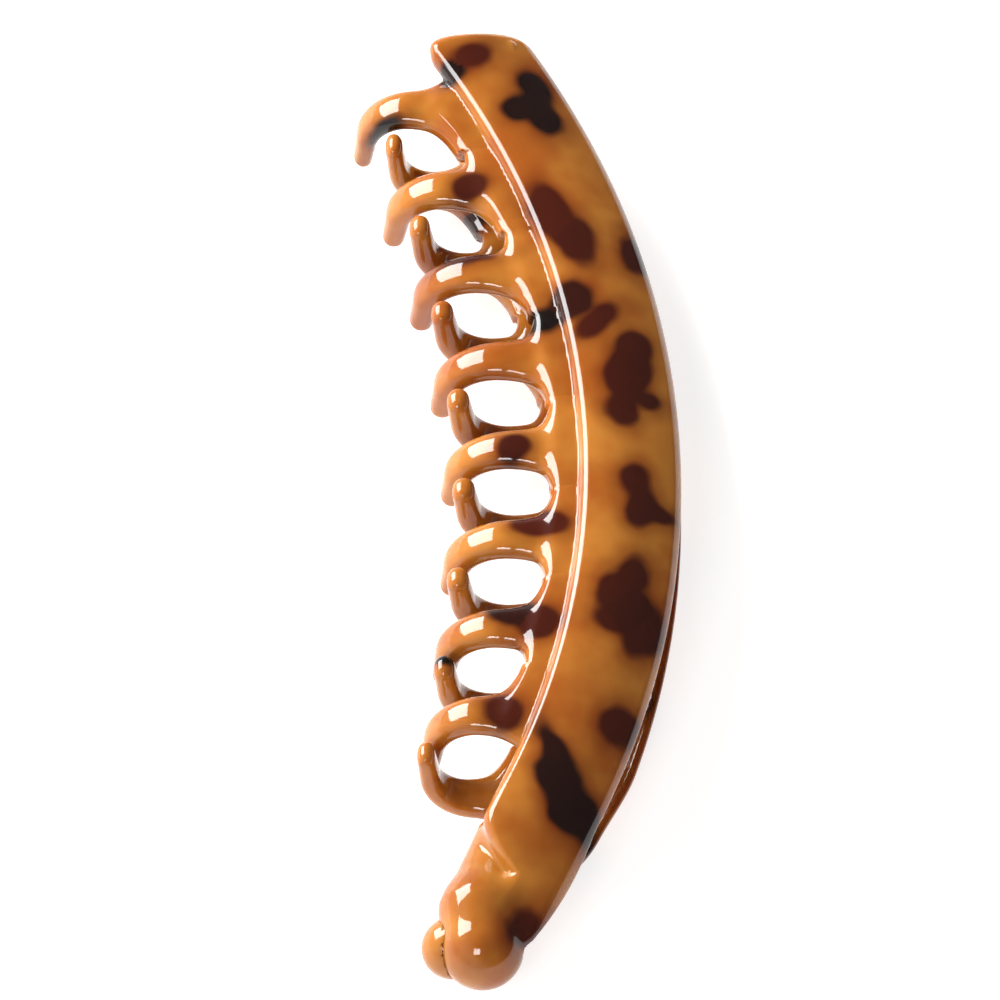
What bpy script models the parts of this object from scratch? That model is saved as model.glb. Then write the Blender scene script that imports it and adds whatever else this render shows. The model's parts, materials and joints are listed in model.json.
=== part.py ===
"""Banana-type claw clip: two curved comb halves hinged on a steel pin at their round end.

The clip lies on its rear half: +Z is through its thickness, +Y runs along its length towards
the blunt clasp end, the hinge is at -Y, the spine faces +X and the claws face -X.
Everything follows one arc in plan. A place on it is given by its distance outside the rim's arc
(across), its height from the mid-plane between the halves (height), and its angle on the arc.
"""
import math

import bmesh
import bpy
from mathutils import Matrix, Vector

# Arc that both halves follow, in plan
RIM_RADIUS = 0.108
ARC_CENTRE = Vector((-0.10118, 0.0022))
HALF_DEPTH = 0.0079

# Shell: one section for both halves, as (across, height from the mid-plane): nine points over
# its outer face from the lip to the spine edge, then nine back along its inner face
SHELL_WIDTH = 0.012
SHELL_SECTION = (
    (-0.0032, 0.0062), (0.0000, 0.0063), (0.0000, 0.0073), (0.0007, 0.0078), (0.0028, 0.0079),
    (0.0056, 0.0079), (0.0085, 0.0070), (0.0107, 0.0057), (0.0120, 0.0042),
    (0.0120, 0.0027), (0.0112, 0.0025), (0.0092, 0.0042), (0.0060, 0.0054), (0.0030, 0.0054),
    (0.0014, 0.0050), (0.0006, 0.0047), (0.0000, 0.0044), (-0.0032, 0.0038),
)
SHELL_STATIONS = 36
BLUNT_END_Y = 0.0642
BLUNT_CORNER_DROP = 0.0024
FRONT_TAIL_ANGLES = (math.radians(-29.0), math.radians(-30.5))
REAR_TAIL_ANGLES = (math.radians(-28.5), math.radians(-22.0))
TAIL_SLOPE_START = math.radians(-23.0)
TAIL_SLOPE_END = math.radians(-30.5)
TAIL_THINNING = 0.28
LIP_MARGIN = math.radians(1.6)
LIP_FADE = math.radians(1.8)
LEAST_LIP = 0.06

# Claws: (reach from the rim, height, half width, half thickness) from root to tip
CLAW_COUNT = 8
CLAW_PITCH = math.radians(6.65)
LAST_CLAW_ANGLE = math.radians(-17.7)
REAR_CLAW_SHIFT = math.radians(-2.55)
CLAW_STATIONS = (
    (0.0010, 0.0050, 0.0033, 0.0011), (0.0038, 0.0051, 0.0027, 0.0012),
    (0.0068, 0.0052, 0.0023, 0.0012), (0.0096, 0.0045, 0.0021, 0.0013),
    (0.0117, 0.0026, 0.0020, 0.0013), (0.0128, 0.0001, 0.0019, 0.0013),
    (0.0129, -0.0024, 0.0018, 0.0012), (0.0127, -0.0038, 0.0014, 0.0009),
    (0.0126, -0.0044, 0.0008, 0.0005),
)
CLAW_SIDES = 10
END_CLAW_SHORTENING = 0.55

# Hinge: a ball on the front half, a smaller dome on the rear half, and a pin through both
HINGE = Vector((-0.00428, -0.0594, HALF_DEPTH))
BALL_RADIUS = 0.0048
BALL_FLAT_X = HINGE.x - 0.0043
THRUST_GAP = 0.0003
DOME_FLAT_X = BALL_FLAT_X - THRUST_GAP
DOME_CENTRE = HINGE + Vector((-0.0035, 0.0008, -0.0011))
DOME_RADIUS = 0.0036
BALL_RELIEF = 0.0003
TAIL_SETBACK = 0.0004
LOBE_INSET = 0.88
KNUCKLE_INSET = 0.96
PIN_RADIUS = 0.0009
BORE_RADIUS = 0.0011
PIN_SIDES = 18
PIN_INNER_X = DOME_FLAT_X - 0.0011
PIN_OUTER_X = HINGE.x + 0.0042
BORE_INNER_X = PIN_INNER_X - 0.0002
BORE_OUTER_X = HINGE.x + 0.0093

# Solid tails, as corners (across the shell, height from the mid-plane, angle in degrees)
FRONT_TAIL_SECTIONS = (
    ((0.0004, 0.0116), (0.0028,), -26.5),
    ((0.0012, 0.0060), (0.0070,), -26.0),
    ((0.0012, 0.0070), (0.0056,), -29.0),
    ((0.0100,), (0.0048,), -28.5),
    ((0.0118,), (0.0010, 0.0028), -30.3),
)
REAR_TAIL_SECTIONS = (
    ((0.0009, 0.0079), (0.0031,), -24.8),
    ((0.0014, 0.0058), (0.0069,), -24.3),
    ((0.0009,), (0.0012, 0.0054), -27.9),
)

# Clasp: a hook standing on the rear half snaps over a ledge inside the front half's end wall
CLASP_X = -0.00448
WALL_HALF_WIDTH = 0.0039
LEDGE_HALF_WIDTH = 0.0035
WALL_Y = (0.0617, 0.0635)
WALL_HEIGHT = (0.0010, 0.0060)
LEDGE_Y = 0.06095
LEDGE_TOP = 0.0023
HOOK_HALF_WIDTH = 0.0030
HOOK_Y = (0.0593, 0.0606)
HOOK_HEIGHT = (-0.0064, 0.0040)
BARB_Y = 0.0614
BARB_UNDERSIDE = 0.0026

FRONT = 1.0
REAR = -1.0


def clear_scene():
    for old in list(bpy.data.objects):
        bpy.data.objects.remove(old, do_unlink=True)


def plain_material(name, colour, roughness, metallic):
    material = bpy.data.materials.new(name)
    material.use_nodes = True
    shader = material.node_tree.nodes["Principled BSDF"]
    shader.inputs["Base Color"].default_value = colour
    shader.inputs["Roughness"].default_value = roughness
    shader.inputs["Metallic"].default_value = metallic
    return material


def add_object(name, shape, material=None):
    """Turn a bmesh into an object with its faces pointing out."""
    bmesh.ops.recalc_face_normals(shape, faces=shape.faces)
    mesh = bpy.data.meshes.new(name)
    shape.to_mesh(mesh)
    shape.free()
    body = bpy.data.objects.new(name, mesh)
    bpy.context.collection.objects.link(body)
    if material:
        mesh.materials.append(material)
    return body


def hide_helper(helper):
    helper.hide_render = True
    helper.display_type = "WIRE"
    return helper


def combine(body, helper, operation):
    step = body.modifiers.new(f"{operation.lower()} {helper.name}", "BOOLEAN")
    step.operation = operation
    step.solver = "EXACT"
    step.object = hide_helper(helper)


def on_arc(across, angle):
    """Point in plan at a distance outside the rim's arc and an angle round it."""
    radius = RIM_RADIUS + across
    return ARC_CENTRE + radius * Vector((math.cos(angle), math.sin(angle)))


def blunt_end_angle(across):
    """Angle at which a line of the shell reaches the blunt end, whose corners are rounded."""
    from_middle = across / SHELL_WIDTH * 2.0 - 1.0
    end_y = BLUNT_END_Y - BLUNT_CORNER_DROP * min(1.0, abs(from_middle)) ** 4
    return math.asin((end_y - ARC_CENTRE.y) / (RIM_RADIUS + across))


def tail_angle(across, tail_angles):
    share = min(1.0, max(0.0, across / SHELL_WIDTH))
    return tail_angles[0] + (tail_angles[1] - tail_angles[0]) * share * share


def loft(rings):
    """Closed skin through rings of equal, even point count, with a strip over each end."""
    shape = bmesh.new()
    rows = [[shape.verts.new(point) for point in ring] for ring in rings]
    count = len(rows[0])
    for lower, upper in zip(rows, rows[1:]):
        for index in range(count):
            following = (index + 1) % count
            shape.faces.new((lower[index], lower[following], upper[following], upper[index]))
    for end in (rows[0], rows[-1]):
        for index in range(count // 2 - 1):
            opposite = count - 1 - index
            shape.faces.new((end[index], end[index + 1], end[opposite - 1], end[opposite]))
    return shape


def lip_share(angle, shift):
    """How much of the lip that carries the claws is left: it fades beyond the end claws."""
    lowest = LAST_CLAW_ANGLE + shift - LIP_MARGIN
    highest = LAST_CLAW_ANGLE + (CLAW_COUNT - 1) * CLAW_PITCH + shift + LIP_MARGIN
    beyond = max(lowest - angle, angle - highest, 0.0)
    return max(LEAST_LIP, 1.0 - beyond / LIP_FADE)


def thinned(height, angle):
    """Height of the shell's section, which gets lower towards the hinge."""
    run = (TAIL_SLOPE_START - angle) / (TAIL_SLOPE_START - TAIL_SLOPE_END)
    return height * (1.0 - TAIL_THINNING * min(1.0, max(0.0, run)) ** 2)


def shell(name, side, tail_angles, shift, material):
    rings = []
    for station in range(SHELL_STATIONS + 1):
        share = station / SHELL_STATIONS
        ring = []
        for across, height in SHELL_SECTION:
            start = tail_angle(across, tail_angles)
            angle = start + (blunt_end_angle(across) - start) * share
            if across < 0.0:
                across *= lip_share(angle, shift)
            place = on_arc(across, angle)
            ring.append((place.x, place.y, HALF_DEPTH + side * thinned(height, angle)))
        rings.append(ring)
    return add_object(name, loft(rings), material)


def claw_row(name, side, shift):
    """All claws of one half, as separate bodies that cross the rim into the shell."""
    row = bmesh.new()
    for number in range(CLAW_COUNT):
        angle = LAST_CLAW_ANGLE + number * CLAW_PITCH + shift
        rim = on_arc(0.0, angle)
        stretch = 1.0 - END_CLAW_SHORTENING * angle * angle
        claw = loft([claw_ring(index, rim, side, stretch) for index in range(len(CLAW_STATIONS))])
        mesh = bpy.data.meshes.new("claw")
        claw.to_mesh(mesh)
        claw.free()
        row.from_mesh(mesh)
        bpy.data.meshes.remove(mesh)
    return add_object(name, row)


def claw_ring(index, rim, side, stretch):
    """Rounded section of a claw, square to its centre line."""
    before = CLAW_STATIONS[max(0, index - 1)]
    after = CLAW_STATIONS[min(len(CLAW_STATIONS) - 1, index + 1)]
    along = Vector((before[0] - after[0], after[1] - before[1])).normalized()
    reach, height, half_width, half_thickness = CLAW_STATIONS[index]
    ring = []
    for corner in range(CLAW_SIDES):
        turn = 2.0 * math.pi * corner / CLAW_SIDES
        out = half_thickness * math.sin(turn)
        x = rim.x - reach * stretch - out * along.y
        z = height + out * along.x
        ring.append((x, rim.y + half_width * math.cos(turn), HALF_DEPTH + side * z))
    return ring


def ball(centre, radius):
    shape = bmesh.new()
    bmesh.ops.create_uvsphere(
        shape, u_segments=20, v_segments=12, radius=radius,
        matrix=Matrix.Translation(centre) @ Matrix.Rotation(math.pi / 2, 4, "Y"))
    return shape


def flatten_side(shape, flat_x, keep_above):
    """Cut a closed shape off at a plane of constant x and fill the cut."""
    away = Vector((-1.0 if keep_above else 1.0, 0.0, 0.0))
    everything = shape.verts[:] + shape.edges[:] + shape.faces[:]
    cut = bmesh.ops.bisect_plane(
        shape, geom=everything, plane_co=(flat_x, 0.0, 0.0), plane_no=away, clear_outer=True)
    rim_edges = [item for item in cut["geom_cut"] if isinstance(item, bmesh.types.BMEdge)]
    bmesh.ops.holes_fill(shape, edges=rim_edges)
    return shape


def hull(points):
    shape = bmesh.new()
    for point in points:
        shape.verts.new(point)
    result = bmesh.ops.convex_hull(shape, input=shape.verts)
    loose = [item for item in result["geom_interior"] if isinstance(item, bmesh.types.BMVert)]
    bmesh.ops.delete(shape, geom=loose, context="VERTS")
    return shape


def block(low, high):
    """Box between two corners, given in plan and in height from the mid-plane."""
    corners = [(x, y, HALF_DEPTH + z)
               for x in (low[0], high[0]) for y in (low[1], high[1]) for z in (low[2], high[2])]
    return hull(corners)


def pin_cylinder(radius, low_x, high_x):
    shape = bmesh.new()
    middle = Vector(((low_x + high_x) / 2, HINGE.y, HINGE.z))
    bmesh.ops.create_cone(
        shape, cap_ends=True, segments=PIN_SIDES, radius1=radius, radius2=radius, depth=high_x - low_x,
        matrix=Matrix.Translation(middle) @ Matrix.Rotation(math.pi / 2, 4, "Y"))
    return shape


def tail_section(across_values, heights, angle, side):
    points = []
    for across in across_values:
        for height in heights:
            place = on_arc(across, angle)
            points.append((place.x, place.y, HALF_DEPTH + side * height))
    return points


def knuckle_points(centre, radius, side):
    """Points on the half of a ball that lies on one half's own side of the mid-plane."""
    points = []
    for ring in range(5):
        lean = math.radians(22.5 * ring)
        for corner in range(16):
            turn = math.radians(22.5 * corner)
            points.append((centre.x + radius * math.cos(lean) * math.cos(turn),
                           centre.y + radius * math.cos(lean) * math.sin(turn),
                           centre.z + side * radius * math.sin(lean)))
    return points


def front_tail():
    """Solid lobe from the end of the front shell down to the ball."""
    points = []
    for across_values, heights, angle in FRONT_TAIL_SECTIONS:
        points += tail_section(across_values, heights, math.radians(angle), FRONT)
    points += knuckle_points(HINGE, BALL_RADIUS * LOBE_INSET, FRONT)
    return flatten_side(hull(points), BALL_FLAT_X + TAIL_SETBACK, keep_above=True)


def rear_tail():
    """Solid arm from the end of the rear shell round the ball's claw side to the dome."""
    points = []
    for across_values, heights, angle in REAR_TAIL_SECTIONS:
        points += tail_section(across_values, heights, math.radians(angle), REAR)
    points += [point for point in knuckle_points(DOME_CENTRE, DOME_RADIUS * KNUCKLE_INSET, REAR)
               if point[0] < DOME_FLAT_X]
    return hull(points)


def front_wall():
    return block((CLASP_X - WALL_HALF_WIDTH, WALL_Y[0], WALL_HEIGHT[0]),
                 (CLASP_X + WALL_HALF_WIDTH, WALL_Y[1], WALL_HEIGHT[1]))


def front_ledge():
    return block((CLASP_X - LEDGE_HALF_WIDTH, LEDGE_Y, WALL_HEIGHT[0] + 0.0001),
                 (CLASP_X + LEDGE_HALF_WIDTH, (WALL_Y[0] + WALL_Y[1]) / 2, LEDGE_TOP))


def rear_hook():
    return block((CLASP_X - HOOK_HALF_WIDTH, HOOK_Y[0], HOOK_HEIGHT[0]),
                 (CLASP_X + HOOK_HALF_WIDTH, HOOK_Y[1], HOOK_HEIGHT[1]))


def rear_barb():
    """Wedge at the hook's tip, flat below and sloping above so that it can be pushed past."""
    inner_y = (HOOK_Y[0] + HOOK_Y[1]) / 2
    points = []
    for x in (CLASP_X - HOOK_HALF_WIDTH * 0.999, CLASP_X + HOOK_HALF_WIDTH * 0.999):
        points.append((x, inner_y, HALF_DEPTH + BARB_UNDERSIDE))
        points.append((x, BARB_Y, HALF_DEPTH + BARB_UNDERSIDE))
        points.append((x, BARB_Y, HALF_DEPTH + BARB_UNDERSIDE + 0.0004))
        points.append((x, inner_y, HALF_DEPTH + HOOK_HEIGHT[1] - 0.00002))
    return hull(points)


def build_front_half(material, bore):
    front = shell("front_half", FRONT, FRONT_TAIL_ANGLES, 0.0, material)
    combine(front, add_object("front_tail_form", front_tail()), "UNION")
    knuckle = flatten_side(ball(HINGE, BALL_RADIUS), BALL_FLAT_X, keep_above=True)
    combine(front, add_object("front_ball_form", knuckle), "UNION")
    combine(front, claw_row("front_claw_form", FRONT, 0.0), "UNION")
    combine(front, add_object("front_wall_form", front_wall()), "UNION")
    combine(front, add_object("front_ledge_form", front_ledge()), "UNION")
    combine(front, bore, "DIFFERENCE")
    return front


def build_rear_half(material, bore):
    rear = shell("rear_half", REAR, REAR_TAIL_ANGLES, REAR_CLAW_SHIFT, material)
    dome = flatten_side(ball(DOME_CENTRE, DOME_RADIUS), DOME_FLAT_X, keep_above=False)
    relief = add_object("ball_relief_cutter", ball(HINGE, BALL_RADIUS + BALL_RELIEF))
    combine(rear, add_object("rear_tail_form", rear_tail()), "UNION")
    combine(rear, relief, "DIFFERENCE")
    combine(rear, add_object("rear_dome_form", dome), "UNION")
    combine(rear, claw_row("rear_claw_form", REAR, REAR_CLAW_SHIFT), "UNION")
    combine(rear, add_object("rear_hook_form", rear_hook()), "UNION")
    combine(rear, add_object("rear_barb_form", rear_barb()), "UNION")
    combine(rear, bore, "DIFFERENCE")
    return rear


def put_origin_on_hinge(body):
    """Move the object's origin to the hinge axis and leave its shape where it is."""
    body.data.transform(Matrix.Translation(-HINGE))
    body.location = HINGE


def main():
    clear_scene()
    tortoiseshell = plain_material("tortoiseshell_acetate", (0.46, 0.17, 0.03, 1.0), 0.08, 0.0)
    steel = plain_material("steel", (0.62, 0.62, 0.60, 1.0), 0.25, 1.0)
    bore = add_object("pin_bore_cutter", pin_cylinder(BORE_RADIUS, BORE_INNER_X, BORE_OUTER_X))
    build_rear_half(tortoiseshell, bore)
    front = build_front_half(tortoiseshell, bore)
    put_origin_on_hinge(front)
    add_object("hinge_pin", pin_cylinder(PIN_RADIUS, PIN_INNER_X, PIN_OUTER_X), steel)


main()
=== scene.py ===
import json
import math

import bmesh
import bpy
import numpy as np
from mathutils import Matrix, Vector


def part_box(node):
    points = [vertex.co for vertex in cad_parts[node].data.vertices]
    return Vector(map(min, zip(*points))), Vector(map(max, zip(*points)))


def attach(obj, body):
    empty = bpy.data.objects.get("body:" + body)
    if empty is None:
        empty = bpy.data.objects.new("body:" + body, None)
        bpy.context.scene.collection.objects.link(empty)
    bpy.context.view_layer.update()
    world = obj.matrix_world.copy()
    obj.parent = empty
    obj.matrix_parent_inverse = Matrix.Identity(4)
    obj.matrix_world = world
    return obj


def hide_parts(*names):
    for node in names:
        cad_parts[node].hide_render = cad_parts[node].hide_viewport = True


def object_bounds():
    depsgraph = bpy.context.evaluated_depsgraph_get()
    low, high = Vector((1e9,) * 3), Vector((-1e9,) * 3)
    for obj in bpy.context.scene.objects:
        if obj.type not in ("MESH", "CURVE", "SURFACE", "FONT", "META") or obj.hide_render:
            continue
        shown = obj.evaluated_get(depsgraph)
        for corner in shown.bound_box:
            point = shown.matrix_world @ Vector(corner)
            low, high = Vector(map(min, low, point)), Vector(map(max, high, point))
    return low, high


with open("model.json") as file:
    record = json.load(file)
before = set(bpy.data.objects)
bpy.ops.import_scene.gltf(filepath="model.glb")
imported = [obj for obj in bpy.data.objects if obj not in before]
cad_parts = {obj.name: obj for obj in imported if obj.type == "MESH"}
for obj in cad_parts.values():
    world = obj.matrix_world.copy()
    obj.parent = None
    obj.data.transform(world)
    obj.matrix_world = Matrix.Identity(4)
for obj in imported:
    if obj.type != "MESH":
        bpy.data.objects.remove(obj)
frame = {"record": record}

CAD_LOW, CAD_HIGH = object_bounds()

# Lengths below are in millimetres; MM turns them to metres when a mesh is made.
MM = 0.001
HINGE = np.array(frame["record"]["behaviour"]["joints"][0]["pos_m"]) / MM
MID_HEIGHT = HINGE[2]
FRONT = 1.0
REAR = -1.0

# Plan of the clip: every line of it is an arc about one centre
ARC_CENTRE = (-101.18, 2.2)
RIM_RADIUS = 108.0
SHELL_WIDTH = 12.0
BLUNT_END_Y = CAD_HIGH.y / MM
BLUNT_SLANT = 1.6
BLUNT_CORNER_DROP = 1.6

# Shell section: crest, then its outer and inner faces as parabolas across the shell
CREST_HEIGHT = 7.88
CREST_ACROSS = 2.2
OUTER_CURVE = 0.0385
INNER_CREST = 5.5
INNER_ACROSS = 4.0
INNER_CURVE = 0.048
SHELL_EDGE_RADIUS = 1.25

# Lip between the rim and the claws
LIP_TOP = 6.2
LIP_BOTTOM = 3.9
LIP_REACH = 2.7
LIP_INNER_EDGE = 2.0
LIP_MARGIN = 1.9
LIP_EDGE_RADIUS = 0.7

# Claws: a straight root, a quarter bend, then a short straight tip
CLAW_COUNT = 8
CLAW_PITCH = math.radians(6.65)
LAST_CLAW_ANGLE = math.radians(-17.7)
REAR_CLAW_SHIFT = math.radians(-2.55)
ROOT_START = -2.0
ROOT_END = 6.8
CLAW_HEIGHT = 5.0
BEND_RADIUS = 6.0
BEND_TURN = math.radians(82.0)
TIP_LENGTH = 3.4
CLAW_WIDTHS = ((0.0, 2.3), (9.0, 2.3), (16.0, 2.05), (21.0, 1.6))
CLAW_THICKNESS = ((0.0, 1.3), (9.0, 1.5), (16.0, 1.5), (21.0, 1.3))
CLAW_ROUNDNESS = 2.5
ROOT_FLARE = 2.7
ROOT_FLARE_REACH = 3.6
CLAW_FILLET = 2.2
RIM_FILLET = 0.3
END_CLAW_SHORTENING = 3.1
# Length of each half's longest claw as a share of the plain one, and the angle where it stands
CLAW_REACH = {FRONT: (1.09, 0.087), REAR: (1.0, 0.035)}
# A claw is worked out only this far along Y on each side of its middle
CLAW_ZONE = 6.5

# Tails: both thin and fill towards the hinge, and the rear one also narrows, as (depth, start, length)
TAIL_START = math.radians(-23.0)
TAIL_END = math.radians(-31.3)
TAIL_THINNING = 0.62
TAIL_FILL_RATE = 1.7
TAIL_UNDERSIDE = 0.7
REAR_TAIL_END = math.radians(-27.5)
REAR_NARROWINGS = (
    (1.2, math.radians(-17.0), math.radians(5.0)), (7.0, math.radians(-21.5), math.radians(9.0)))
CURL_START = math.radians(-25.7)
CURL_STEP = math.radians(2.0)
CURL_REACH = 3.2
CURL_LIMIT = 6.0

# Knuckles: a lobe and a ball in front; behind, an arm as (x, y, height, radius) and a dome
LOBE_START = np.array((-3.0, -45.0, MID_HEIGHT + 1.3))
LOBE_MIDDLE = np.array((-4.4, -54.8, MID_HEIGHT + 0.8))
LOBE_START_RADIUS = 2.1
LOBE_MIDDLE_RADIUS = 4.6
LOBE_FILLET = 1.2
BALL_RADIUS = 4.8
FRONT_KNUCKLE_FILLET = 1.8
DOME_CENTRE = HINGE + np.array((-3.35, 0.8, -1.1))
DOME_RADIUS = 3.6
DOME_FILLET = 0.8
# The dome runs this far into the ball, so that no gap shows between them
KNUCKLE_OVERLAP = 0.15
KNUCKLE_CUT_EDGE = 0.1
ARM_PATH = ((-0.6, -44.0, -5.2, 2.2), (-6.2, -53.4, -5.3, 2.1), (-7.6, -58.3, -1.7, 3.0))
ARM_FILLET = 1.3
# The bore is in the ball only, and stops before the ball's dome side
BORE_RADIUS = 0.95
BORE_INNER_X = HINGE[0] - 4.1
BORE_EDGE = 0.15

# Snap clasp at the blunt end. Blocks are half width, (low Y, high Y), heights over the middle, edge radius
CLASP_X = -4.48
CLASP_WALL = (3.9, (61.7, 63.4), (1.0, 6.0), 0.3)
CLASP_LEDGE = (3.5, (60.95, 62.6), (1.0, 2.3), 0.2)
CLASP_HOOK = (3.0, (59.3, 60.6), (-6.4, 4.0), 0.25)
CLASP_BARB = (3.0, (60.0, 61.4), (2.6, 4.0), 0.15)
BARB_SLOPE_START = (61.4, 3.0)
BARB_SLOPE = (0.8, 0.6)
LEDGE_FILLET = 0.2
WALL_FILLET = 0.3
HOOK_FILLET = 0.25

# Mesh fineness
STEP = 0.36

# Blotches: how softly two of them join, and the depth of a point that is in none
BLOTCH_BLEND = 1.0
NO_BLOTCH = -9.0

# Camera: width of its view at the clip, and where it looks
PICTURE_WIDTH = 114.7
CAMERA_ELEVATION = math.radians(55.0)
CAMERA_TARGET = (-0.00224, 0.00295, MID_HEIGHT * MM)
CAMERA_LENS = 1500.0
CLIP_MIDDLE = (0.0, 0.0, 0.008)


# The two halves are distance forms that are skinned into meshes, and not Geometry Nodes, because
# claws, lip, shell and knuckle flow into each other with fillets that instances and swept paths don't give.

def smooth_union(first, second, fillet):
    """Both bodies as one, with a fillet where they meet."""
    share = np.clip(0.5 + 0.5 * (second - first) / fillet, 0.0, 1.0)
    return second + (first - second) * share - fillet * share * (1.0 - share)


def smooth_cut(body, cutter, fillet):
    """body without cutter, with a rounded edge."""
    return -smooth_union(-body, cutter, fillet)


def rounded(radius, *sides):
    """What is inside every side, with its edges rounded."""
    sides = np.stack(np.broadcast_arrays(*sides)) + radius
    inside = np.minimum(sides.max(axis=0), 0.0)
    outside = np.sqrt((np.maximum(sides, 0.0) ** 2).sum(axis=0))
    return inside + outside - radius


def tapered_rod(points, start, end, start_radius, end_radius):
    """A round bar with round ends."""
    along = end - start
    share = np.clip(((points - start) @ along) / (along @ along), 0.0, 1.0)
    gap = np.linalg.norm(points - (start + share[..., None] * along), axis=-1)
    return gap - (start_radius + (end_radius - start_radius) * share)


def plan_coordinates(points):
    """(across, angle): distance outside the rim's arc, and angle round it."""
    x = points[..., 0] - ARC_CENTRE[0]
    y = points[..., 1] - ARC_CENTRE[1]
    return np.hypot(x, y) - RIM_RADIUS, np.arctan2(y, x)


def ease(share):
    """A smooth rise from 0 to 1."""
    share = np.clip(share, 0.0, 1.0)
    return share * share * (3.0 - 2.0 * share)


def shell_form(points, across, angle, height, side):
    """The curved shell, open underneath, which thins and fills towards the hinge."""
    tail = np.clip((TAIL_START - angle) / (TAIL_START - TAIL_END), 0.0, 1.0)
    top = (CREST_HEIGHT - OUTER_CURVE * (across - CREST_ACROSS) ** 2) * (
        1.0 - TAIL_THINNING * tail * tail)
    top_slope = 2.0 * OUTER_CURVE * (across - CREST_ACROSS)
    bottom = INNER_CREST - INNER_CURVE * (across - INNER_ACROSS) ** 2
    bottom_slope = 2.0 * INNER_CURVE * (across - INNER_ACROSS)
    fill = ease(tail * TAIL_FILL_RATE)
    bottom = bottom + (TAIL_UNDERSIDE - bottom) * fill
    bottom_slope = bottom_slope * (1.0 - fill)
    curl = np.maximum(0.0, (CURL_START - angle) / CURL_STEP)
    if side == FRONT:
        left = np.minimum(CURL_REACH * curl * curl, CURL_LIMIT)
        right = SHELL_WIDTH
        tail_end = (TAIL_END - angle) * RIM_RADIUS
    else:
        left = 0.0
        right = SHELL_WIDTH
        for depth, start, length in REAR_NARROWINGS:
            right = right - depth * ease((start - angle) / length)
        tail_end = (REAR_TAIL_END - angle) * RIM_RADIUS
    from_middle = np.clip(across / SHELL_WIDTH * 2.0 - 1.0, -1.0, 1.0)
    blunt_end = points[..., 1] - (
        BLUNT_END_Y + BLUNT_SLANT * from_middle - BLUNT_CORNER_DROP * from_middle ** 6)
    return rounded(
        SHELL_EDGE_RADIUS,
        (height - top) / np.sqrt(1.0 + top_slope ** 2),
        (bottom - height) / np.sqrt(1.0 + bottom_slope ** 2),
        left - across, across - right, tail_end, blunt_end)


def lip_form(across, angle, height, shift):
    """The band between the rim and the claws' roots."""
    lowest = (LAST_CLAW_ANGLE + shift - angle) * RIM_RADIUS - LIP_MARGIN
    highest = (angle - LAST_CLAW_ANGLE - shift - (CLAW_COUNT - 1) * CLAW_PITCH) * RIM_RADIUS
    return rounded(
        LIP_EDGE_RADIUS, height - LIP_TOP, LIP_BOTTOM - height, -LIP_REACH - across,
        across - LIP_INNER_EDGE, lowest, highest - LIP_MARGIN)


def claw_form(points, height, number, side, shift):
    """One claw: an oval bar along a straight root, a bend and a straight tip."""
    angle = LAST_CLAW_ANGLE + number * CLAW_PITCH + shift
    rim_x = ARC_CENTRE[0] + RIM_RADIUS * math.cos(angle)
    claw_y = ARC_CENTRE[1] + RIM_RADIUS * math.sin(angle)
    longest, longest_angle = CLAW_REACH[side]
    stretch = longest - END_CLAW_SHORTENING * abs(angle - longest_angle) ** 3
    reach = (rim_x - points[..., 0]) / stretch
    beside = np.abs(points[..., 1] - claw_y)

    root_share = np.clip(reach, ROOT_START, ROOT_END)
    root_gap = np.hypot(reach - root_share, height - CLAW_HEIGHT)

    bend_centre = CLAW_HEIGHT - BEND_RADIUS
    turn = np.clip(np.arctan2(reach - ROOT_END, height - bend_centre), 0.0, BEND_TURN)
    bend_x = ROOT_END + BEND_RADIUS * np.sin(turn)
    bend_z = bend_centre + BEND_RADIUS * np.cos(turn)
    bend_gap = np.hypot(reach - bend_x, height - bend_z)

    tip_x = ROOT_END + BEND_RADIUS * math.sin(BEND_TURN)
    tip_z = bend_centre + BEND_RADIUS * math.cos(BEND_TURN)
    tip_way = (math.cos(BEND_TURN), -math.sin(BEND_TURN))
    tip_share = np.clip((reach - tip_x) * tip_way[0] + (height - tip_z) * tip_way[1], 0.0, TIP_LENGTH)
    tip_gap = np.hypot(reach - tip_x - tip_share * tip_way[0], height - tip_z - tip_share * tip_way[1])

    gap = root_gap
    travel = root_share - ROOT_START
    nearer = bend_gap < gap
    gap = np.where(nearer, bend_gap, gap)
    travel = np.where(nearer, ROOT_END - ROOT_START + turn * BEND_RADIUS, travel)
    nearer = tip_gap < gap
    gap = np.where(nearer, tip_gap, gap)
    whole = ROOT_END - ROOT_START + BEND_TURN * BEND_RADIUS
    travel = np.where(nearer, whole + tip_share, travel)

    half_width = np.interp(travel, *zip(*CLAW_WIDTHS))
    half_width = half_width + ROOT_FLARE * np.exp(-(reach / ROOT_FLARE_REACH) ** 2)
    half_thickness = np.interp(travel, *zip(*CLAW_THICKNESS))
    oval = (gap / half_thickness) ** CLAW_ROUNDNESS + (beside / half_width) ** CLAW_ROUNDNESS
    return (oval ** (1.0 / CLAW_ROUNDNESS) - 1.0) * half_thickness


def clasp_block(points, half_width, lengthwise, heights, radius):
    low = (CLASP_X - half_width, lengthwise[0], MID_HEIGHT + heights[0])
    high = (CLASP_X + half_width, lengthwise[1], MID_HEIGHT + heights[1])
    return rounded(radius, *(low[i] - points[..., i] for i in range(3)),
                   *(points[..., i] - high[i] for i in range(3)))


def front_knuckle(points):
    """The lobe that swells into the hinge ball."""
    upper = tapered_rod(points, LOBE_START, LOBE_MIDDLE, LOBE_START_RADIUS, LOBE_MIDDLE_RADIUS)
    lower = tapered_rod(points, LOBE_MIDDLE, HINGE, LOBE_MIDDLE_RADIUS, BALL_RADIUS)
    return smooth_union(upper, lower, LOBE_FILLET)


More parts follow.
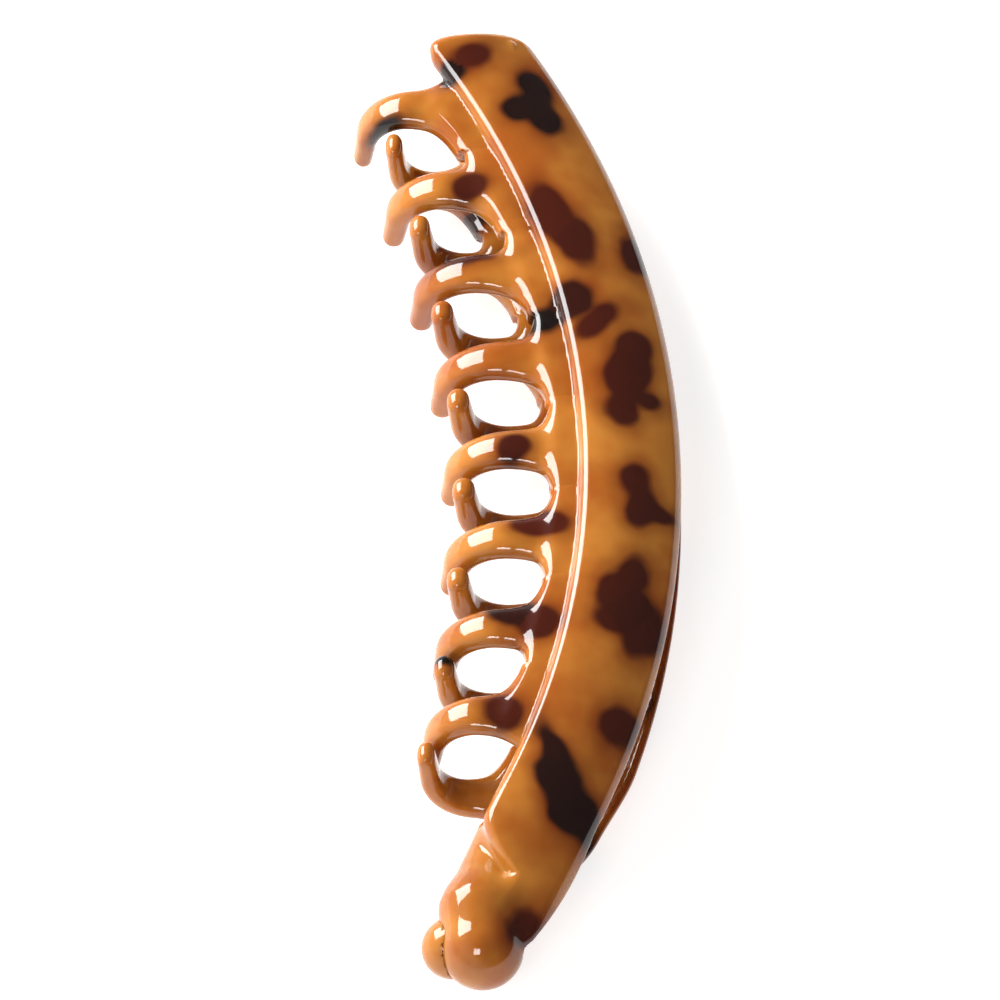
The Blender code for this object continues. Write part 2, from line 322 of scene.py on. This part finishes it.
def bore_form(points):
    from_axis = np.hypot(points[..., 1] - HINGE[1], points[..., 2] - HINGE[2])
    return np.maximum(from_axis - BORE_RADIUS, BORE_INNER_X - points[..., 0])


def comb_form(points, side, shift):
    """Shell, lip and claws of one half."""
    across, angle = plan_coordinates(points)
    height = side * (points[..., 2] - MID_HEIGHT)
    lip = lip_form(across, angle, height, shift)
    for number in range(CLAW_COUNT):
        claw_y = ARC_CENTRE[1] + RIM_RADIUS * math.sin(LAST_CLAW_ANGLE + number * CLAW_PITCH + shift)
        near = np.abs(points[..., 1] - claw_y) < CLAW_ZONE
        claw = claw_form(points[near], height[near], number, side, shift)
        lip[near] = smooth_union(lip[near], claw, CLAW_FILLET)
    return smooth_union(shell_form(points, across, angle, height, side), lip, RIM_FILLET)


def front_form(points):
    body = comb_form(points, FRONT, 0.0)
    body = smooth_union(body, front_knuckle(points), FRONT_KNUCKLE_FILLET)
    wall = clasp_block(points, *CLASP_WALL)
    ledge = clasp_block(points, *CLASP_LEDGE)
    body = smooth_union(body, smooth_union(wall, ledge, LEDGE_FILLET), WALL_FILLET)
    return smooth_cut(body, bore_form(points), BORE_EDGE)


def rear_form(points):
    body = comb_form(points, REAR, REAR_CLAW_SHIFT)
    for first, second in zip(ARM_PATH, ARM_PATH[1:]):
        start = np.array((first[0], first[1], MID_HEIGHT + first[2]))
        end = np.array((second[0], second[1], MID_HEIGHT + second[2]))
        body = smooth_union(body, tapered_rod(points, start, end, first[3], second[3]), ARM_FILLET)
    dome = np.linalg.norm(points - DOME_CENTRE, axis=-1) - DOME_RADIUS
    body = smooth_union(body, dome, DOME_FILLET)
    body = smooth_cut(body, front_knuckle(points) + KNUCKLE_OVERLAP, KNUCKLE_CUT_EDGE)
    hook = clasp_block(points, *CLASP_HOOK)
    slope = (points[..., 1] - BARB_SLOPE_START[0]) * BARB_SLOPE[0] + (
        points[..., 2] - MID_HEIGHT - BARB_SLOPE_START[1]) * BARB_SLOPE[1]
    barb = clasp_block(points, *CLASP_BARB)
    return smooth_union(body, np.minimum(hook, np.maximum(barb, slope)), HOOK_FILLET)


def skin(form, low, high):
    """Points and quads of form's surface on a grid, one point in each cell that it crosses."""
    counts = [int(math.ceil((high[i] - low[i]) / STEP)) + 1 for i in range(3)]
    axes = [low[i] + STEP * np.arange(counts[i]) for i in range(3)]
    grid = np.stack(np.meshgrid(*axes, indexing="ij"), axis=-1)
    values = form(grid)
    cells = tuple(count - 1 for count in counts)
    total = np.zeros(cells + (3,))
    crossings = np.zeros(cells, dtype=np.int32)
    edges = []
    for axis in range(3):
        others = [(axis + 1) % 3, (axis + 2) % 3]
        start = values.take(range(counts[axis] - 1), axis)
        end = values.take(range(1, counts[axis]), axis)
        crossed = (start < 0) != (end < 0)
        share = np.where(crossed, start / np.where(crossed, start - end, 1.0), 0.0)
        edges.append((axis, others, crossed, start < 0))
        for first in (0, 1):
            for second in (0, 1):
                window = [slice(None)] * 3
                window[others[0]] = slice(first, first + cells[others[0]])
                window[others[1]] = slice(second, second + cells[others[1]])
                here = crossed[tuple(window)]
                crossings += here
                total[..., axis] += np.where(here, share[tuple(window)], 0.0)
                total[..., others[0]] += here * first
                total[..., others[1]] += here * second
    used = np.argwhere(crossings > 0)
    index = np.full(cells, -1)
    index[tuple(used.T)] = np.arange(len(used))
    points = np.array(low) + STEP * (used + total[tuple(used.T)] / crossings[tuple(used.T)][:, None])
    quads = [quads_round(index, *edge) for edge in edges]
    return points, np.concatenate(quads)


def quads_round(index, axis, others, crossed, starts_inside):
    """The four cells round each crossed grid edge, in the order that faces outwards."""
    places = np.argwhere(crossed)
    inner = np.all(places[:, others] > 0, axis=1)
    inner &= np.all(places[:, others] < np.array(index.shape)[others], axis=1)
    places = places[inner]
    corners = []
    for back in ((1, 1), (0, 1), (0, 0), (1, 0)):
        cell = places.copy()
        cell[:, others[0]] -= back[0]
        cell[:, others[1]] -= back[1]
        corners.append(index[tuple(cell.T)])
    quads = np.stack(corners, axis=1)
    outward = starts_inside[tuple(places.T)]
    quads[~outward] = quads[~outward][:, ::-1]
    return quads


def slope_of(form, points):
    """form's value at each point, and how steeply it rises along X, Y and Z."""
    reach = 0.02
    value = form(points)
    slope = np.stack([(form(points + np.eye(3)[i] * reach) - value) / reach for i in range(3)], axis=1)
    return value, slope


def settle(form, points, quads):
    """Even the points out, then move each back to the surface."""
    for _ in range(2):
        total = np.zeros_like(points)
        shared = np.zeros(len(points))
        for a, b in ((0, 1), (1, 2), (2, 3), (3, 0)):
            np.add.at(total, quads[:, a], points[quads[:, b]])
            np.add.at(total, quads[:, b], points[quads[:, a]])
            np.add.at(shared, quads[:, a], 1.0)
            np.add.at(shared, quads[:, b], 1.0)
        points = 0.5 * points + 0.5 * total / shared[:, None]
        for _ in range(2):
            value, slope = slope_of(form, points)
            length = np.maximum((slope ** 2).sum(axis=1), 0.25)
            step = np.clip(value / length, -0.3, 0.3)
            points = points - slope * step[:, None]
    return points


# Dark blotches in the acetate, as (along the arc, across, half length, half width, turn, darkness)
FRONT_BLOTCHES = (
    (61.2, 0.8, 1.4, 1.3, 0, 0.9), (62.2, 3.9, 1.7, 2.4, 0, 0.15),
    (55.3, 8.5, 2.4, 1.9, 0, 0.9), (53.1, 5.1, 1.9, 2.0, 0, 0.9), (50.4, 7.4, 2.4, 1.9, 10, 0.9),
    (52.8, 7.0, 2.0, 1.8, 0, 0.9),
    (37.2, 2.9, 4.2, 2.3, -12, 0.15), (33.2, 4.3, 3.6, 2.1, -8, 0.3), (30.6, 10.8, 2.6, 1.7, 0, 0.3),
    (24.4, 1.6, 2.8, 2.4, 30, 0.6), (20.9, 3.8, 3.0, 1.5, 55, 0.2), (17.6, 7.5, 1.9, 2.0, 0, 0.25),
    (13.7, 6.5, 4.2, 2.6, 10, 0.3), (8.6, 5.2, 2.4, 1.7, 0, 0.3), (9.9, 8.5, 1.3, 1.5, 0, 0.3),
    (-1.5, 6.4, 2.0, 1.5, 0, 0.3), (-5.0, 7.2, 2.2, 1.6, 10, 0.35), (-5.4, 9.3, 0.9, 1.6, 0, 0.3),
    (-14.2, 7.0, 2.4, 1.8, 0, 0.3), (-17.4, 5.4, 2.4, 2.0, 0, 0.3), (-19.4, 7.3, 3.0, 2.8, 0, 0.4),
    (-21.5, 5.4, 1.5, 1.6, 0, 0.3), (-21.4, 9.6, 3.0, 1.8, 20, 0.3), (-34.3, 9.8, 2.3, 2.0, 0, 0.15),
    (-40.3, 3.9, 3.4, 1.1, -45, 0.8), (-44.4, 6.3, 3.2, 2.6, -50, 0.85), (-46.9, 9.3, 3.4, 2.6, -60, 0.85),
    (-61.2, 10.4, 2.2, 1.5, 0, 0.1),
    (59.2, -10.4, 2.2, 3.0, 0, 1.0), (45.6, -4.6, 1.8, 1.8, 0, 0.2), (35.6, -8.6, 1.1, 3.2, 15, 0.3),
    (23.0, -2.0, 1.7, 2.6, 0, 1.0), (4.4, -7.4, 1.8, 1.7, 0, 0.3), (-7.8, -4.0, 2.0, 3.2, 0, 0.05),
    (-21.8, -5.6, 2.0, 2.6, 0, 0.7), (-22.6, -2.6, 2.4, 2.2, 0, 0.2), (-36.8, -3.4, 2.2, 2.4, 0, 0.15),
)
REAR_BLOTCHES = (
    (9.2, -12.6, 1.4, 1.6, 0, 1.0), (-29.0, -12.4, 1.5, 1.6, 0, 1.0), (56.0, 5.0, 3.0, 2.2, 15, 0.9),
    (43.0, 8.6, 2.6, 2.0, 0, 0.8), (33.0, 3.2, 3.8, 2.0, -20, 0.85), (19.0, 8.2, 3.4, 2.4, 10, 0.9),
    (8.0, 2.8, 2.2, 1.6, 0, 0.75), (-3.0, 8.4, 3.2, 2.2, 25, 0.85), (-14.0, 3.6, 2.8, 2.0, -10, 0.9),
    (-24.0, 9.0, 2.4, 2.2, 0, 0.8), (-33.0, 3.4, 3.4, 1.9, 15, 0.9), (-44.0, 8.0, 2.6, 2.2, 0, 0.85),
    (-48.5, 2.6, 2.0, 1.7, 0, 0.7), (47.5, -4.4, 1.6, 2.6, 0, 0.8), (-7.0, -4.6, 1.6, 2.6, 0, 0.8),
)


def blotch_depths(points, blotches):
    """How far inside a blotch each point lies, in mm, and how dark that blotch is."""
    across, angle = plan_coordinates(points)
    along = angle * (RIM_RADIUS + SHELL_WIDTH / 2)
    depth = np.full(len(points), NO_BLOTCH)
    dark = np.zeros(len(points))
    for place, off, half_length, half_width, turn, darkness in blotches:
        lean = math.radians(turn)
        u = ((along - place) * math.cos(lean) + (across - off) * math.sin(lean)) / half_length
        v = ((across - off) * math.cos(lean) - (along - place) * math.sin(lean)) / half_width
        inside = (1.0 - np.hypot(u, v)) * min(half_length, half_width)
        dark = np.where(inside > depth, darkness, dark)
        depth = -smooth_union(-depth, -inside, BLOTCH_BLEND)
    return depth, dark


def moulding(name, form, low, high, blotches, material):
    """Mesh piece of one half, with its blotches stored on its points."""
    points, quads = skin(form, low, high)
    points = settle(form, points, quads)
    depth, dark = blotch_depths(points, blotches)
    normals = slope_of(form, points)[1]
    normals /= np.linalg.norm(normals, axis=1)[:, None]
    mesh = bpy.data.meshes.new(name)
    mesh.from_pydata((points * MM).tolist(), [], quads.tolist())
    mesh.polygons.foreach_set("use_smooth", [True] * len(mesh.polygons))
    mesh.normals_split_custom_set_from_vertices(normals.tolist())
    for label, numbers in (("blotch_depth", depth), ("blotch_dark", dark)):
        layer = mesh.attributes.new(label, "FLOAT", "POINT")
        layer.data.foreach_set("value", numbers.astype(np.float32))
    mesh.materials.append(material)
    piece = bpy.data.objects.new(name, mesh)
    bpy.context.collection.objects.link(piece)
    return piece


def linear(hex_colour):
    """sRGB hex to linear RGBA."""
    parts = [int(hex_colour[i:i + 2], 16) / 255.0 for i in (0, 2, 4)]
    parts = [part / 12.92 if part <= 0.04045 else ((part + 0.055) / 1.055) ** 2.4 for part in parts]
    return (*parts, 1.0)


def add_node(tree, kind, settings=(), values=(), links=()):
    """Add a node, set its settings and input values, and link sockets into it."""
    node = tree.nodes.new(kind)
    for name, setting in dict(settings).items():
        setattr(node, name, setting)
    for socket, value in dict(values).items():
        node.inputs[socket].default_value = value
    for socket, source in dict(links).items():
        tree.links.new(source, node.inputs[socket])
    return node


def blank_material(name):
    """(material, its node tree, its shader)."""
    material = bpy.data.materials.new(name)
    material.use_nodes = True
    return material, material.node_tree, material.node_tree.nodes["Principled BSDF"]


def tortoiseshell_acetate():
    """Moulded and tumble-polished cellulose acetate, honey amber with dark brown blotches.

    It is slightly translucent, so thin claws glow orange, and its polish gives sharp highlights.
    """
    material, tree, shader = blank_material("polished_tortoiseshell_acetate")
    place = add_node(tree, "ShaderNodeTexCoord").outputs["Object"]
    depth = add_node(tree, "ShaderNodeAttribute", {"attribute_name": "blotch_depth"}).outputs["Fac"]
    dark = add_node(tree, "ShaderNodeAttribute", {"attribute_name": "blotch_dark"}).outputs["Fac"]
    # Blotch edges wander by about half a millimetre over 4 mm, as mixed resin does
    wander = add_node(tree, "ShaderNodeTexNoise", values={"Scale": 250.0, "Detail": 1.0, "Roughness": 0.4},
                      links={"Vector": place}).outputs["Fac"]
    offset = add_node(tree, "ShaderNodeMath", {"operation": "MULTIPLY_ADD"},
                      {1: 1.7, 2: -0.7}, {0: wander}).outputs[0]
    edge = add_node(tree, "ShaderNodeMath", {"operation": "ADD"}, links={0: depth, 1: offset}).outputs[0]
    core = add_node(tree, "ShaderNodeMapRange", {"interpolation_type": "SMOOTHSTEP"},
                    {"From Min": -0.5, "From Max": 0.5}, {"Value": edge}).outputs[0]
    halo = add_node(tree, "ShaderNodeMapRange", {"interpolation_type": "SMOOTHSTEP"},
                    {"From Min": -2.2, "From Max": 0.5}, {"Value": edge}).outputs[0]
    # Slow honey to orange clouds, about 12 mm across
    cloud = add_node(tree, "ShaderNodeTexNoise", values={"Scale": 80.0, "Detail": 3.0, "Roughness": 0.55},
                     links={"Vector": place}).outputs["Fac"]
    clouds = add_node(tree, "ShaderNodeMapRange", {"interpolation_type": "SMOOTHSTEP"},
                      {"From Min": 0.36, "From Max": 0.66}, {"Value": cloud}).outputs[0]
    body = add_node(tree, "ShaderNodeMix", {"data_type": "RGBA"},
                    {6: linear("B4732C"), 7: linear("9A521A")}, {0: clouds}).outputs[2]
    warm = add_node(tree, "ShaderNodeMath", {"operation": "MULTIPLY"}, {1: 0.72}, {0: halo}).outputs[0]
    warmed = add_node(tree, "ShaderNodeMix", {"data_type": "RGBA"},
                      {7: linear("6A2A0A")}, {0: warm, 6: body}).outputs[2]
    shade = add_node(tree, "ShaderNodeMix", {"data_type": "RGBA"},
                     {6: linear("4A190C"), 7: linear("150D0B")}, {0: dark}).outputs[2]
    colour = add_node(tree, "ShaderNodeMix", {"data_type": "RGBA"}, links={0: core, 6: warmed, 7: shade})
    tree.links.new(colour.outputs[2], shader.inputs["Base Color"])
    shader.inputs["Roughness"].default_value = 0.05
    shader.inputs["IOR"].default_value = 1.49
    shader.inputs["Subsurface Weight"].default_value = 0.45
    shader.inputs["Subsurface Radius"].default_value = (1.0, 0.38, 0.12)
    shader.inputs["Subsurface Scale"].default_value = 0.0022
    return material


def drawn_steel():
    """Cut steel wire: grey, with fine lines along its length from the drawing die."""
    material, tree, shader = blank_material("drawn_steel_wire")
    place = add_node(tree, "ShaderNodeTexCoord").outputs["Object"]
    stretched = add_node(tree, "ShaderNodeMapping", values={"Scale": (200.0, 9000.0, 9000.0)},
                         links={"Vector": place}).outputs[0]
    lines = add_node(tree, "ShaderNodeTexNoise", values={"Scale": 1.0, "Detail": 2.0},
                     links={"Vector": stretched}).outputs["Fac"]
    rough = add_node(tree, "ShaderNodeMapRange", values={"To Min": 0.22, "To Max": 0.38},
                     links={"Value": lines}).outputs[0]
    tree.links.new(rough, shader.inputs["Roughness"])
    shader.inputs["Base Color"].default_value = linear("B9B7B2")
    shader.inputs["Metallic"].default_value = 1.0
    return material


def studio_floor():
    """Backlit white acrylic table, which keeps shadows pale."""
    material, _, shader = blank_material("backlit_acrylic_table")
    shader.inputs["Base Color"].default_value = linear("BDBCBA")
    shader.inputs["Roughness"].default_value = 0.9
    shader.inputs["Emission Color"].default_value = linear("FFFFFF")
    shader.inputs["Emission Strength"].default_value = 0.8
    mesh = bpy.data.meshes.new("studio_floor")
    reach = 8.0
    mesh.from_pydata([(-reach, -reach, 0), (reach, -reach, 0), (reach, reach, 0), (-reach, reach, 0)],
                     [], [(0, 1, 2, 3)])
    mesh.materials.append(material)
    floor = bpy.data.objects.new("studio_floor", mesh)
    floor.location.z = -0.0002
    bpy.context.collection.objects.link(floor)


def softbox(name, place, size, power, long_way):
    """Rectangular light facing the clip, with its length along long_way."""
    light = bpy.data.lights.new(name, "AREA")
    light.shape = "RECTANGLE"
    light.size, light.size_y = size
    light.energy = power
    lamp = bpy.data.objects.new(name, light)
    lamp.location = place
    back = (Vector(place) - Vector(CLIP_MIDDLE)).normalized()
    across = Vector(long_way).cross(back).normalized()
    lamp.rotation_euler = Matrix((across, back.cross(across), back)).transposed().to_euler()
    bpy.context.collection.objects.link(lamp)


def studio_lights():
    softbox("strip_light_left", (-0.47, 0.36, 0.40), (0.44, 0.50), 11.0, (0.225, 0.80, -0.556))
    softbox("front_light", (-0.25, -0.75, 0.75), (0.3, 0.3), 4.0, (1.0, 0.0, 0.0))
    world = bpy.data.worlds.new("studio_world")
    world.use_nodes = True
    tree = world.node_tree
    way = add_node(tree, "ShaderNodeTexCoord").outputs["Generated"]
    side = add_node(tree, "ShaderNodeVectorMath", {"operation": "DOT_PRODUCT"}, {1: (-0.7, 0.0, -0.7)},
                    {0: way}).outputs["Value"]
    # A pale wall low on the claws' side; the ceiling and the far side stay dark
    strength = add_node(tree, "ShaderNodeMapRange", {"interpolation_type": "SMOOTHSTEP"},
                        {"From Min": -0.45, "From Max": 0.15, "To Min": 0.12, "To Max": 0.85},
                        {"Value": side}).outputs[0]
    tree.links.new(strength, tree.nodes["Background"].inputs["Strength"])
    tree.nodes["Background"].inputs["Color"].default_value = linear("FFFFFF")
    bpy.context.scene.world = world
    bpy.context.scene.view_settings.view_transform = "Standard"


def camera():
    """Very long lens that looks from the hinge end down at the table."""
    data = bpy.data.cameras.new("camera")
    data.lens = CAMERA_LENS
    distance = PICTURE_WIDTH * MM * data.lens / data.sensor_width
    view = bpy.data.objects.new("camera", data)
    back = Vector((0.0, -math.cos(CAMERA_ELEVATION), math.sin(CAMERA_ELEVATION)))
    view.location = Vector(CAMERA_TARGET) + back * distance
    view.rotation_euler = (-back).to_track_quat("-Z", "Y").to_euler()
    bpy.context.collection.objects.link(view)
    bpy.context.scene.camera = view


def hinge_pin(material):
    """Cut wire with its ends slightly rounded, where the CAD pin is."""
    low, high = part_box("hinge_pin")
    radius = (high.z - low.z) / 2
    shape = bmesh.new()
    bmesh.ops.create_cone(shape, cap_ends=True, segments=48, radius1=radius, radius2=radius,
                          depth=high.x - low.x)
    ends = [edge for edge in shape.edges if abs(edge.verts[0].co.z - edge.verts[1].co.z) < 1e-6]
    bmesh.ops.bevel(shape, geom=ends, offset=0.00015, segments=3, affect="EDGES")
    middle = (low + high) / 2
    for vert in shape.verts:
        vert.co = Vector((vert.co.z, vert.co.y, -vert.co.x)) + middle
    mesh = bpy.data.meshes.new("steel_hinge_pin")
    shape.to_mesh(mesh)
    shape.free()
    mesh.shade_smooth()
    mesh.set_sharp_from_angle(angle=math.radians(40))
    mesh.materials.append(material)
    pin = bpy.data.objects.new("steel_hinge_pin", mesh)
    bpy.context.collection.objects.link(pin)
    return pin


def grid_corners(node):
    """The CAD node's box in mm, 1 mm larger on each side."""
    low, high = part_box(node)
    return [value / MM - 1.0 for value in low], [value / MM + 1.0 for value in high]


camera()
studio_floor()
studio_lights()
acetate = tortoiseshell_acetate()

front = moulding("front_half_moulding", front_form, *grid_corners("front_half"), FRONT_BLOTCHES, acetate)
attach(front, "front")
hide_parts("front_half")

rear = moulding("rear_half_moulding", rear_form, *grid_corners("rear_half"), REAR_BLOTCHES, acetate)
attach(rear, "rear")
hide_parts("rear_half")

pin = hinge_pin(drawn_steel())
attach(pin, "rear")
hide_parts("hinge_pin")
